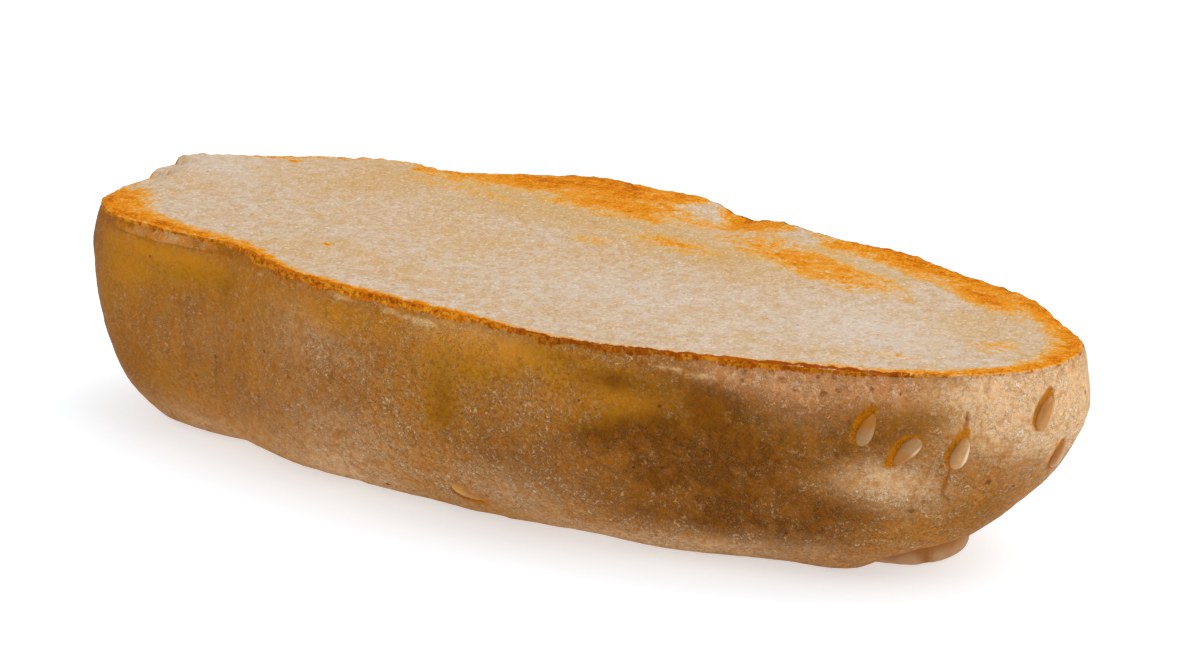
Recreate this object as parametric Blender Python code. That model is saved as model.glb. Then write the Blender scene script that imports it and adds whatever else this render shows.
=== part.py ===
"""Heel half of a small soft seeded roll, cut lengthwise and toasted on its cut face.

It lies on its flat baked underside, cut face up. +X is along its length, -Y its better lit
long side and +Z up. The origin is the middle of the underside. Sizes below are in millimetres.
"""

import math

import bmesh
import bpy
from mathutils import Matrix, Vector

MM = 0.001

# Rim of the cut face, a superellipse a little blunter at its left end
HALF_LENGTH = 52.4
HALF_WIDTH = 20.5
CUT_HEIGHT = 22.4
BLUNT_LEFT = 2.1
BLUNT_RIGHT = 2.0
LEFT_END_SHIFT = -2.2
RIGHT_END_SHIFT = -1.9
RIM_ROUND = 0.4

# Wall below the rim: it swells to its widest line, then curves under to the base
SWELL = 0.9
WIDEST_HEIGHT = 16.8
UNDER_SIDE = 8.8
UNDER_LEFT = 8.0
UNDER_RIGHT = 16.2
ROUNDNESS = 2.3
ROUNDNESS_RIGHT = 1.4

# Every row of the wall turns towards a middle line this much shorter than the rim
SPINE_SHARE = 0.55

# Slow bulges and pinches of the rim: X, side (-1 near, 1 far), amount out, spread
RIM_WAVES = (
    (-46.0, -1, 1.5, 4.0),
    (-30.0, -1, -2.4, 7.0),
    (11.0, -1, 1.5, 9.0),
    (33.0, -1, -0.5, 6.0),
    (-51.0, 1, 0.8, 3.0),
    (-43.0, 1, -1.7, 5.0),
    (-25.0, 1, -2.7, 5.0),
    (-11.0, 1, 1.4, 6.0),
    (17.0, 1, -2.5, 8.0),
    (34.0, 1, -0.9, 6.0),
    (47.0, 1, -0.9, 4.0),
)
WAVE_AT_BASE = 0.35

# Unevenness of the cut: X, Y, rise, spread along X, spread along Y
CUT_WAVES = (
    (-38.0, 18.0, -0.7, 8.0, 6.0),
    (-17.0, 19.0, -0.6, 10.0, 6.0),
    (6.0, 18.0, -1.1, 3.0, 4.0),
    (9.0, 17.0, -0.4, 3.5, 6.0),
    (31.0, 14.0, -0.5, 14.0, 6.0),
    (48.0, 4.0, -0.4, 4.0, 6.0),
    (-5.0, 0.0, -0.5, 26.0, 9.0),
    (40.0, 0.0, -0.4, 6.0, 5.0),
    (-20.0, -9.0, 0.25, 9.0, 4.0),
    (14.0, 5.0, 0.25, 12.0, 4.0),
)

# Left end torn down in two steps: Y of each step, their height, where along X they start
TORN_STEPS_Y = (1.6, 4.2)
TORN_STEP = 0.84
TORN_STEP_RUN = 0.7
TORN_FROM = -50.5
TORN_TO = -47.0
TORN_NEAR_Y = -3.0
TORN_NEAR_SPREAD = 7.0

# Edge where the skin has peeled a little from the crumb: X, depth in, height down, spread
PEEL_X = -38.0
PEEL_IN = 0.5
PEEL_DOWN = 1.3
PEEL_SPREAD = 7.5

# Crust turned out and roughened along the right of the near rim
CURL_X = 33.0
CURL_OUT = 0.5
CURL_SPREAD = 7.0
CURL_DOWN = 2.0

# Folds and dents of the crust: X, side, height, depth, spread along, spread up, slant
WALL_DENTS = (
    (-27.0, -1, 3.0, -0.7, 7.0, 6.0, 0.0),
    (-13.0, -1, 12.0, 0.7, 2.0, 9.0, 0.5),
    (14.0, -1, 18.0, 0.8, 9.0, 3.0, 0.0),
    (22.0, -1, 9.0, 0.9, 9.0, 5.0, 0.3),
    (-38.0, -1, 17.0, 0.6, 4.0, 2.5, -0.3),
    (38.0, -1, 12.0, -0.5, 6.0, 6.0, 0.0),
    (-36.0, -1, 0.0, 1.4, 4.0, 3.0, 0.0),
    (11.0, -1, 0.0, 1.2, 6.0, 3.0, 0.0),
    (41.0, -1, 0.0, -2.8, 6.0, 4.0, 0.0),
    (-30.0, 1, 10.0, 0.6, 5.0, 6.0, 0.4),
    (-2.0, 1, 15.0, 0.7, 4.0, 7.0, -0.4),
    (26.0, 1, 9.0, 0.8, 6.0, 5.0, 0.3),
)

# Tuck under the right end, where the wall rests on the foot: turn, reach, height, run, depth
TUCK_TURN = -12.0
TUCK_SPREAD = 32.0
TUCK_HEIGHT = 4.5
TUCK_RUN = 3.0
TUCK_DEPTH = 3.2

# How quickly a long side gives way to an end, and how far round an end its curve reaches
SIDE_FADE = 2.5
END_REACH = 3

# Mesh density, and the steps over which the wall's slope is read
COLUMNS = 148
ROWS_ABOVE = 5
ROWS_BELOW = 18
CUT_RINGS = (0.05, 0.16, 0.32, 0.5, 0.68, 0.84)
TURN_STEP = 0.02
HEIGHT_STEP = 0.4

# Sesame seeds pressed into the wall: turn round the roll, height, lean from upright
SEED_LENGTH = 3.7
SEED_WIDTH = 1.55
SEED_THICKNESS = 1.2
SEED_TAPER = 0.28
SEED_SUNK = 0.3
SEEDS = (
    (-43.5, 17.3, 26.0),
    (-38.0, 15.3, 221.0),
    (-29.5, 15.3, 17.0),
    (-12.5, 18.4, 27.0),
    (-4.0, 13.3, -12.0),
    (-91.2, 3.8, 110.0),
    (19.0, 14.5, -25.0),
    (36.0, 11.5, 30.0),
)

# Hollow that each seed lies in, and slits in the crust: turn, height, lean, length
HOLLOW_MARGIN = 0.35
HOLLOW_DEPTH = 0.5
HOLLOW_THICKNESS = 1.6
SLITS = ((-29.2, 18.2, 15.0, 2.0), (-31.0, 11.6, -6.0, 3.0))
SLIT_WIDTH = 0.5
SLIT_DEPTH = 0.4

# Foot of dough pressed out under the right end
FOOT_CENTRE = (35.2, -0.9)
FOOT_LENGTH = 12.2
FOOT_WIDTH = 12.2
FOOT_THICKNESS = 3.4
FOOT_BLUNT = 0.5
FOOT_CLEARANCE = 0.1

# Faces round and along each seed, and round and along the foot
SEED_FACES = (8, 6)
FOOT_FACES = (24, 14)

# Material slots in order: name, colour, roughness
MATERIALS = (
    ("crust", (0.38, 0.17, 0.05, 1.0), 0.75),
    ("crumb", (0.62, 0.45, 0.29, 1.0), 0.9),
    ("sesame", (0.55, 0.35, 0.16, 1.0), 0.55),
)
CRUST, CRUMB, SEED = range(3)


def clear_scene():
    for obj in list(bpy.data.objects):
        bpy.data.objects.remove(obj, do_unlink=True)


def bump(distance, spread):
    """Smooth hump of height 1 that fades out over its spread."""
    return math.exp(-((distance / spread) ** 2))


def ramp(share):
    """Smooth change from 0 to 1."""
    share = min(1.0, max(0.0, share))
    return share * share * (3.0 - 2.0 * share)


def midline(x):
    """Sideways drift of the roll's middle along its length."""
    shift = LEFT_END_SHIFT if x < 0 else RIGHT_END_SHIFT
    return shift * (x / HALF_LENGTH) ** 2


def on_side(turn, side):
    """1 along one long side of the roll, falling to 0 round its ends."""
    return min(1.0, SIDE_FADE * max(0.0, side * math.sin(turn)))


def rim_plan(turn, height=CUT_HEIGHT):
    """Plan point of the rim, anticlockwise from the right tip, with its waves at this height."""
    c = math.cos(turn)
    s = math.sin(turn)
    power = 2.0 / (BLUNT_RIGHT if c > 0 else BLUNT_LEFT)
    x = math.copysign(HALF_LENGTH * abs(c) ** power, c)
    y = math.copysign(HALF_WIDTH * abs(s) ** power, s) + midline(x)
    wave = 0.0
    for where, side, out, spread in RIM_WAVES:
        wave += side * out * bump(x - where, spread) * on_side(turn, side)
    share = min(1.0, height / CUT_HEIGHT)
    return Vector((x, y + wave * (WAVE_AT_BASE + (1.0 - WAVE_AT_BASE) * share)))


def spine_plan(rim):
    """Point of the middle line that this part of the rim turns towards."""
    x = SPINE_SHARE * rim.x
    return Vector((x, midline(x)))


def cut_height(x, y):
    """Height of the cut face, which the knife left slightly uneven."""
    height = CUT_HEIGHT
    for where_x, where_y, rise, spread_x, spread_y in CUT_WAVES:
        height += rise * bump(x - where_x, spread_x) * bump(y - where_y, spread_y)
    at_end = ramp((TORN_TO - x) / (TORN_TO - TORN_FROM))
    near = bump(min(0.0, y - TORN_NEAR_Y), TORN_NEAR_SPREAD)
    for step_y in TORN_STEPS_Y:
        height -= TORN_STEP * at_end * near * ramp(0.5 + (step_y - y) / TORN_STEP_RUN)
    return height


def under_depth(turn):
    """How far the base edge lies inside the rim."""
    c = math.cos(turn)
    end = UNDER_RIGHT if c > 0 else UNDER_LEFT
    return UNDER_SIDE + (end - UNDER_SIDE) * abs(c) ** END_REACH


def dent_depth(turn, x, height):
    """Sum of the folds and dents at this place of the wall."""
    depth = 0.0
    for where, side, up, deep, along, across, slant in WALL_DENTS:
        run = x - where - slant * (height - up)
        depth += deep * bump(run, along) * bump(height - up, across) * on_side(turn, side)
    return depth


def roundness(turn):
    """Power of the curve under the roll, fuller at the left and slacker at the right."""
    c = math.cos(turn)
    return ROUNDNESS + (ROUNDNESS_RIGHT - ROUNDNESS) * max(0.0, c) ** END_REACH


def edge_depth(turn, rim, height):
    """Peeled skin at the left of the near rim and curled crust at its right."""
    down = cut_height(rim.x, rim.y) - height
    peel = PEEL_IN * bump(rim.x - PEEL_X, PEEL_SPREAD) * (1.0 - ramp(down / PEEL_DOWN))
    curl = CURL_OUT * bump(rim.x - CURL_X, CURL_SPREAD) * bump(down, CURL_DOWN)
    return (peel - curl) * on_side(turn, -1)


def tuck_depth(turn, height):
    """How far the foot of the wall is tucked in under the right end."""
    off = math.remainder(math.degrees(turn) - TUCK_TURN, 360.0)
    return TUCK_DEPTH * bump(off, TUCK_SPREAD) * ramp((TUCK_HEIGHT - height) / TUCK_RUN)


def wall_inset(turn, height):
    """How far the smooth wall lies inside the rim at this height."""
    if height >= WIDEST_HEIGHT:
        rim = rim_plan(turn)
        top = cut_height(rim.x, rim.y) - RIM_ROUND
        share = (top - height) / (top - WIDEST_HEIGHT)
        return -SWELL * (1.0 - (1.0 - share) ** 2)
    power = roundness(turn)
    tuck = 1.0 - (1.0 - (1.0 - height / WIDEST_HEIGHT) ** power) ** (1.0 / power)
    return (under_depth(turn) + SWELL) * tuck - SWELL


def wall_point(turn, height):
    """Point of the wall at this height, with its folds and its torn edge."""
    rim = rim_plan(turn, height)
    inward = (spine_plan(rim) - rim).normalized()
    depth = wall_inset(turn, height)
    depth += dent_depth(turn, rim.x, height) + edge_depth(turn, rim, height)
    depth += tuck_depth(turn, height)
    plan = rim + inward * depth
    return Vector((plan.x, plan.y, height)) * MM


def cut_point(turn, share):
    """Point of the cut face this share of the way from the rim to the middle line."""
    rim = rim_plan(turn)
    plan = rim.lerp(spine_plan(rim), share)
    return Vector((plan.x, plan.y, cut_height(plan.x, plan.y))) * MM


def extrude_ring(bm, column, edges, place):
    """Extrudes a ring of edges and puts each new vertex where its column belongs."""
    made = bmesh.ops.extrude_edge_only(bm, edges=edges)["geom"]
    verts = {item for item in made if isinstance(item, bmesh.types.BMVert)}
    for vert in verts:
        vert.co = place(2.0 * math.pi * vert[column] / COLUMNS)
    return [
        item
        for item in made
        if isinstance(item, bmesh.types.BMEdge) and set(item.verts) <= verts
    ]


def body_mesh():
    """Closed surface of the half roll, from its base up the wall and in over the cut."""
    bm = bmesh.new()
    column = bm.verts.layers.int.new("column")
    base = bmesh.ops.create_circle(bm, cap_ends=True, segments=COLUMNS, radius=HALF_WIDTH * MM)
    for number, vert in enumerate(base["verts"]):
        turn = 2.0 * math.pi * number / COLUMNS
        vert[column] = number
        vert.co = wall_point(turn, 0.0)
    edges = bm.edges[:]

    for row in range(ROWS_BELOW - 1, -1, -1):
        angle = 0.5 * math.pi * row / ROWS_BELOW

        def place_below(turn):
            drop = math.sin(angle) ** (2.0 / roundness(turn))
            return wall_point(turn, WIDEST_HEIGHT * (1.0 - drop))

        edges = extrude_ring(bm, column, edges, place_below)

    for row in range(ROWS_ABOVE - 1, -1, -1):

        def place_above(turn):
            rim = rim_plan(turn)
            top = cut_height(rim.x, rim.y) - RIM_ROUND
            return wall_point(turn, top + (WIDEST_HEIGHT - top) * row / ROWS_ABOVE)

        edges = extrude_ring(bm, column, edges, place_above)

    crust_faces = set(bm.faces)
    for share in CUT_RINGS:
        edges = extrude_ring(bm, column, edges, lambda turn: cut_point(turn, share))
    bmesh.ops.contextual_create(bm, geom=edges)
    for face in bm.faces:
        face.material_index = CRUST if face in crust_faces else CRUMB
    bmesh.ops.recalc_face_normals(bm, faces=bm.faces)
    bmesh.ops.triangulate(bm, faces=bm.faces)
    return bm


def wall_frame(turn, height, lean, sunk):
    """Place on the wall: Y along a line that leans from upright, Z straight out."""
    here = wall_point(turn, height)
    along = wall_point(turn + TURN_STEP, height) - wall_point(turn - TURN_STEP, height)
    up = wall_point(turn, height + HEIGHT_STEP) - wall_point(turn, height - HEIGHT_STEP)
    out = along.cross(up).normalized()
    up = (up - out * up.dot(out)).normalized()
    across = up.cross(out)
    angle = math.radians(lean)
    length = up * math.cos(angle) + across * math.sin(angle)
    width = length.cross(out)
    frame = Matrix((width, length, out)).transposed().to_4x4()
    frame.translation = here - out * sunk * MM
    return frame


def oval(name, size, faces, frame, taper=0.0, slot=CRUST, blunt=1.0):
    """Oval solid of this width, length and thickness, narrower at one end or blunt all round."""
    bm = bmesh.new()
    bmesh.ops.create_uvsphere(bm, u_segments=faces[0], v_segments=faces[1], radius=0.5)
    for vert in bm.verts:
        x, y, z = vert.co.x, vert.co.z, -vert.co.y
        fuller = max(1e-6, 2.0 * math.hypot(x, y)) ** (blunt - 1.0)
        x, y, z = x * fuller, y * fuller, math.copysign(0.5 * abs(2.0 * z) ** blunt, z)
        narrow = 1.0 - 2.0 * taper * y
        vert.co = Vector((x * size[0] * narrow, y * size[1], z * size[2] * narrow)) * MM
    for face in bm.faces:
        face.material_index = slot
    bm.transform(frame)
    bmesh.ops.recalc_face_normals(bm, faces=bm.faces)
    return new_object(name, bm)


def new_object(name, bm):
    mesh = bpy.data.meshes.new(name)
    bm.to_mesh(mesh)
    bm.free()
    for material, _, _ in MATERIALS:
        mesh.materials.append(bpy.data.materials[material])
    return bpy.data.objects.new(name, mesh)


def add_material(name, colour, roughness):
    material = bpy.data.materials.new(name)
    material.use_nodes = True
    shader = material.node_tree.nodes["Principled BSDF"]
    shader.inputs["Base Color"].default_value = colour
    shader.inputs["Roughness"].default_value = roughness
    shader.inputs["Metallic"].default_value = 0.0
    material.diffuse_color = colour


def hollows():
    """Cutters for the hollow round each seed and for the slits."""
    made = []
    for turn, height, lean in SEEDS:
        size = (
            SEED_WIDTH + 2.0 * HOLLOW_MARGIN,
            SEED_LENGTH + 2.0 * HOLLOW_MARGIN,
            HOLLOW_THICKNESS,
        )
        sunk = HOLLOW_DEPTH - 0.5 * HOLLOW_THICKNESS
        frame = wall_frame(math.radians(turn), height, lean, sunk)
        made.append(oval("hollow", size, SEED_FACES, frame, SEED_TAPER))
    for turn, height, lean, length in SLITS:
        frame = wall_frame(math.radians(turn), height, lean, 0.0)
        size = (SLIT_WIDTH, length, 2.0 * SLIT_DEPTH)
        made.append(oval("slit", size, SEED_FACES, frame))
    return made


def additions():
    """Seeds and the foot of dough, which are fused to the body."""
    made = []
    for turn, height, lean in SEEDS:
        frame = wall_frame(math.radians(turn), height, lean, SEED_SUNK)
        size = (SEED_WIDTH, SEED_LENGTH, SEED_THICKNESS)
        made.append(oval("seed", size, SEED_FACES, frame, SEED_TAPER, SEED))
    middle = Vector((*FOOT_CENTRE, FOOT_CLEARANCE + 0.5 * FOOT_THICKNESS)) * MM
    size = (FOOT_LENGTH, FOOT_WIDTH, FOOT_THICKNESS)
    place = Matrix.Translation(middle)
    made.append(oval("foot", size, FOOT_FACES, place, blunt=FOOT_BLUNT))
    return made


def combine(obj, others, operation):
    """Applies one Boolean on a collection of the others, then removes them."""
    group = bpy.data.collections.new(operation.lower())
    bpy.context.scene.collection.children.link(group)
    for other in others:
        group.objects.link(other)
        other.hide_render = True
        other.display_type = "WIRE"
    boolean = obj.modifiers.new(operation.lower(), "BOOLEAN")
    boolean.operation = operation
    boolean.operand_type = "COLLECTION"
    boolean.collection = group
    boolean.solver = "EXACT"
    bpy.context.view_layer.objects.active = obj
    bpy.ops.object.modifier_apply(modifier=boolean.name)
    for other in others:
        bpy.data.objects.remove(other, do_unlink=True)
    bpy.data.collections.remove(group)


def build():
    clear_scene()
    for name, colour, roughness in MATERIALS:
        add_material(name, colour, roughness)
    roll = new_object("bolillo_half", body_mesh())
    bpy.context.scene.collection.objects.link(roll)
    combine(roll, hollows(), "DIFFERENCE")
    combine(roll, additions(), "UNION")
    roll.data.shade_smooth()
    roll.data.set_sharp_from_angle(angle=math.radians(50.0))


build()
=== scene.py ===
"""Look of the half roll: crust, toasted crumb, sesame seeds and the foot of dough under it."""

import math

import bpy
import numpy as np
from mathutils import Matrix, Vector, noise


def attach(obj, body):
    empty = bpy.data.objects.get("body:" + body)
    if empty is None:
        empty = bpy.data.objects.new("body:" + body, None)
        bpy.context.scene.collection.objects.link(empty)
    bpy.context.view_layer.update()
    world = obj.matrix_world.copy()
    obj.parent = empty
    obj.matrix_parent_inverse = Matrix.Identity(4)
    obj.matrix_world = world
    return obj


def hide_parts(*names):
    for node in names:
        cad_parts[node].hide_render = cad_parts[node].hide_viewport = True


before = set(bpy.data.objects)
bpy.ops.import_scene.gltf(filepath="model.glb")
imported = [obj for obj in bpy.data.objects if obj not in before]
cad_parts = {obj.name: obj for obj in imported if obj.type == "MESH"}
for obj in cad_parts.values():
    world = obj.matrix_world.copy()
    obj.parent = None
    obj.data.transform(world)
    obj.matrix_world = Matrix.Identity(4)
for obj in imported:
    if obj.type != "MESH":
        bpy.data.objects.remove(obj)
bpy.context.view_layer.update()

MM = 0.001


# Roll
# The heel half of a white roll, baked on a flat tray, sliced lengthwise and toasted on its cut.
# Thin soft crust over fine crumb, all of one piece. Its sizes are those of the solid, in mm,
# and the finer relief of crust, torn rim and pores is added along the surface's normals.

HALF_LENGTH, HALF_WIDTH, CUT_HEIGHT = 52.4, 20.5, 22.4
BLUNT_LEFT, BLUNT_RIGHT = 2.1, 2.0
LEFT_END_SHIFT, RIGHT_END_SHIFT = -2.2, -1.9
RIM_ROUND = 0.4
SWELL, WIDEST_HEIGHT = 0.9, 16.8
UNDER_SIDE, UNDER_LEFT, UNDER_RIGHT = 8.8, 8.0, 16.2
ROUNDNESS, ROUNDNESS_RIGHT = 2.3, 1.4
SPINE_SHARE = 0.55
WAVE_AT_BASE = 0.35
SIDE_FADE, END_REACH = 2.5, 3

# X, side (-1 near, 1 far), amount out, spread
RIM_WAVES = (
    (-46.0, -1, 1.5, 4.0),
    (-30.0, -1, -2.4, 7.0),
    (11.0, -1, 1.5, 9.0),
    (33.0, -1, -0.5, 6.0),
    (-51.0, 1, 0.8, 3.0),
    (-43.0, 1, -1.7, 5.0),
    (-25.0, 1, -2.7, 5.0),
    (-11.0, 1, 1.4, 6.0),
    (17.0, 1, -2.5, 8.0),
    (34.0, 1, -0.9, 6.0),
    (47.0, 1, -0.9, 4.0),
)
# X, Y, rise, spread along X, spread along Y
CUT_WAVES = (
    (-38.0, 18.0, -0.7, 8.0, 6.0),
    (-17.0, 19.0, -0.6, 10.0, 6.0),
    (6.0, 18.0, -1.1, 3.0, 4.0),
    (9.0, 17.0, -0.4, 3.5, 6.0),
    (31.0, 14.0, -0.5, 14.0, 6.0),
    (48.0, 4.0, -0.4, 4.0, 6.0),
    (-5.0, 0.0, -0.5, 26.0, 9.0),
    (40.0, 0.0, -0.4, 6.0, 5.0),
    (-20.0, -9.0, 0.25, 9.0, 4.0),
    (14.0, 5.0, 0.25, 12.0, 4.0),
)
TORN_STEPS_Y, TORN_STEP, TORN_STEP_RUN = (1.6, 4.2), 0.84, 0.7
TORN_FROM, TORN_TO = -50.5, -47.0
TORN_NEAR_Y, TORN_NEAR_SPREAD = -3.0, 7.0
PEEL_X, PEEL_IN, PEEL_DOWN, PEEL_SPREAD = -38.0, 0.5, 1.3, 7.5
CURL_X, CURL_OUT, CURL_SPREAD, CURL_DOWN = 33.0, 0.5, 7.0, 2.0
# X, side, height, depth, spread along, spread up, slant
WALL_DENTS = (
    (-27.0, -1, 3.0, -0.7, 7.0, 6.0, 0.0),
    (-13.0, -1, 12.0, 0.7, 2.0, 9.0, 0.5),
    (14.0, -1, 18.0, 0.8, 9.0, 3.0, 0.0),
    (22.0, -1, 9.0, 0.9, 9.0, 5.0, 0.3),
    (-38.0, -1, 17.0, 0.6, 4.0, 2.5, -0.3),
    (38.0, -1, 12.0, -0.5, 6.0, 6.0, 0.0),
    (-36.0, -1, 0.0, 1.4, 4.0, 3.0, 0.0),
    (11.0, -1, 0.0, 1.2, 6.0, 3.0, 0.0),
    (41.0, -1, 0.0, -2.8, 6.0, 4.0, 0.0),
    (-30.0, 1, 10.0, 0.6, 5.0, 6.0, 0.4),
    (-2.0, 1, 15.0, 0.7, 4.0, 7.0, -0.4),
    (26.0, 1, 9.0, 0.8, 6.0, 5.0, 0.3),
)
TUCK_TURN, TUCK_SPREAD, TUCK_HEIGHT, TUCK_RUN, TUCK_DEPTH = -12.0, 32.0, 4.5, 3.0, 3.2
# Turn round the roll in degrees, height, lean from upright
SEEDS = (
    (-43.5, 17.3, 26.0),
    (-38.0, 15.3, 221.0),
    (-29.5, 15.3, 17.0),
    (-12.5, 18.4, 27.0),
    (-4.0, 13.3, -12.0),
    (-91.2, 3.8, 110.0),
    (19.0, 14.5, -25.0),
    (36.0, 11.5, 30.0),
)
SEED_LENGTH, SEED_WIDTH, SEED_THICKNESS, SEED_TAPER = 3.7, 1.55, 1.2, 0.28
HOLLOW_MARGIN, HOLLOW_SHIFT = 0.16, 0.3
# Turn, height, lean, length, hook aside at the foot
SLITS = ((-28.6, 18.3, 14.0, 1.9, 0.0), (-31.0, 11.9, 2.0, 4.2, 1.0))
SLIT_WIDTH, SLIT_DEPTH = 0.42, 0.32
FOOT_CENTRE, FOOT_LENGTH, FOOT_WIDTH, FOOT_THICKNESS = (35.2, -0.9), 12.2, 12.2, 3.4
FOOT_BLUNT, FOOT_CLEARANCE = 0.5, 0.1


def bump(distance, spread):
    """1 at no distance, falling away on both sides over this spread."""
    return np.exp(-((distance / spread) ** 2))


def ramp(share):
    """0 below 0 and 1 above 1, with a smooth change between them."""
    share = np.clip(share, 0.0, 1.0)
    return share * share * (3.0 - 2.0 * share)


def midline(x):
    """Y of the roll's middle line, which bends towards the near side at both ends."""
    return np.where(x < 0, LEFT_END_SHIFT, RIGHT_END_SHIFT) * (x / HALF_LENGTH) ** 2


def on_side(turn, side):
    """1 on the near or far side of the roll, and 0 on the other and at the tips."""
    return np.clip(SIDE_FADE * side * np.sin(turn), 0.0, 1.0)


def rim_plan(turn, height=CUT_HEIGHT):
    """X and Y of the plan at a turn round the roll. Its waves are weaker lower down."""
    c, s = np.cos(turn), np.sin(turn)
    power = 2.0 / np.where(c > 0, BLUNT_RIGHT, BLUNT_LEFT)
    x = np.sign(c) * HALF_LENGTH * np.abs(c) ** power
    y = np.sign(s) * HALF_WIDTH * np.abs(s) ** power + midline(x)
    wave = sum(
        side * out * bump(x - where, spread) * on_side(turn, side)
        for where, side, out, spread in RIM_WAVES
    )
    share = np.minimum(1.0, height / CUT_HEIGHT)
    return x, y + wave * (WAVE_AT_BASE + (1.0 - WAVE_AT_BASE) * share)


def cut_height(x, y):
    """Height of the cut, with the torn steps at its far left end."""
    height = CUT_HEIGHT + sum(
        rise * bump(x - where_x, spread_x) * bump(y - where_y, spread_y)
        for where_x, where_y, rise, spread_x, spread_y in CUT_WAVES
    )
    torn = ramp((TORN_TO - x) / (TORN_TO - TORN_FROM))
    torn = torn * bump(np.minimum(0.0, y - TORN_NEAR_Y), TORN_NEAR_SPREAD)
    for step_y in TORN_STEPS_Y:
        height = height - TORN_STEP * torn * ramp(0.5 + (step_y - y) / TORN_STEP_RUN)
    return height


def wall_inset(turn, height):
    """How far the wall lies in from the rim: swelled below the rim and rounded in underneath."""
    c = np.cos(turn)
    rim_x, rim_y = rim_plan(turn)
    top = cut_height(rim_x, rim_y) - RIM_ROUND
    share = (top - height) / (top - WIDEST_HEIGHT)
    above = -SWELL * (1.0 - (1.0 - share) ** 2)
    end = np.where(c > 0, UNDER_RIGHT, UNDER_LEFT)
    under = UNDER_SIDE + (end - UNDER_SIDE) * np.abs(c) ** END_REACH
    power = ROUNDNESS + (ROUNDNESS_RIGHT - ROUNDNESS) * np.maximum(0.0, c) ** END_REACH
    drop = np.clip(1.0 - height / WIDEST_HEIGHT, 0.0, 1.0)
    tuck = 1.0 - (1.0 - drop**power) ** (1.0 / power)
    return np.where(height >= WIDEST_HEIGHT, above, (under + SWELL) * tuck - SWELL)


def wall(turn, height):
    """Points of the wall, with its folds, its peeled edge and its curled edge."""
    x, y = rim_plan(turn, height)
    in_x = SPINE_SHARE * x - x
    in_y = midline(SPINE_SHARE * x) - y
    depth = wall_inset(turn, height)
    for where, side, up, deep, along, across, slant in WALL_DENTS:
        run = x - where - slant * (height - up)
        depth = depth + deep * bump(run, along) * bump(height - up, across) * on_side(turn, side)
    off = np.mod(np.degrees(turn) - TUCK_TURN + 180.0, 360.0) - 180.0
    depth = depth + TUCK_DEPTH * bump(off, TUCK_SPREAD) * ramp((TUCK_HEIGHT - height) / TUCK_RUN)
    down = cut_height(x, y) - height
    peel = PEEL_IN * bump(x - PEEL_X, PEEL_SPREAD) * (1.0 - ramp(down / PEEL_DOWN))
    curl = CURL_OUT * bump(x - CURL_X, CURL_SPREAD) * bump(down, CURL_DOWN)
    share = (depth + (peel - curl) * on_side(turn, -1)) / np.hypot(in_x, in_y)
    return np.stack([x + in_x * share, y + in_y * share, height], axis=-1)


def wall_frame(turn, height, lean, sunk):
    """Matrix of a place on the wall: Y along a line that leans from upright, Z straight out."""
    turn = math.radians(turn)
    here = Vector(wall(np.float64(turn), np.float64(height)))
    along = Vector(wall(turn + 0.02, height) - wall(turn - 0.02, height))
    up = Vector(wall(turn, height + 0.4) - wall(turn, height - 0.4))
    out = along.cross(up).normalized()
    up = (up - out * up.dot(out)).normalized()
    length = up * math.cos(math.radians(lean)) + up.cross(out) * math.sin(math.radians(lean))
    matrix = Matrix((length.cross(out), length, out)).transposed().to_4x4()
    matrix.translation = here - out * sunk
    return matrix


# Columns of the mesh round the roll and rows from the middle of its base up the wall, over the
# rim and in across the cut
COLUMNS = 600
BASE_ROWS, BELOW_ROWS, ABOVE_ROWS, ROUND_ROWS, CUT_ROWS = 8, 62, 14, 4, 60
WALL_START = BASE_ROWS
WIDEST_ROW = WALL_START + BELOW_ROWS
TOP_ROW = WIDEST_ROW + ABOVE_ROWS
CUT_START = TOP_ROW + ROUND_ROWS
ROWS = CUT_START + CUT_ROWS
WELD = 0.00001
# The mesh is twice as fine this near to a seed or a slit
FINE_REACH = 3.2

# Length along the plan of the roll against the turn round it, which patches of colour are laid by
PLAN_STEPS = 3600
plan_turns = np.radians(np.linspace(90.0, 450.0, PLAN_STEPS + 1))
plan_power = 2.0 / np.where(np.cos(plan_turns) > 0, BLUNT_RIGHT, BLUNT_LEFT)
plan_x = np.sign(np.cos(plan_turns)) * HALF_LENGTH * np.abs(np.cos(plan_turns)) ** plan_power
plan_y = np.sign(np.sin(plan_turns)) * HALF_WIDTH * np.abs(np.sin(plan_turns)) ** plan_power
plan_arc = np.concatenate([[0.0], np.cumsum(np.hypot(np.diff(plan_x), np.diff(plan_y)))])


def turn_at(share):
    """Turn of a column: each half of the roll, left and right, is divided evenly."""
    middle = plan_arc[PLAN_STEPS // 2]
    left = 2.0 * share * middle
    right = middle + (2.0 * share - 1.0) * (plan_arc[-1] - middle)
    return np.interp(np.where(share < 0.5, left, right), plan_arc, plan_turns)


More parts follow.
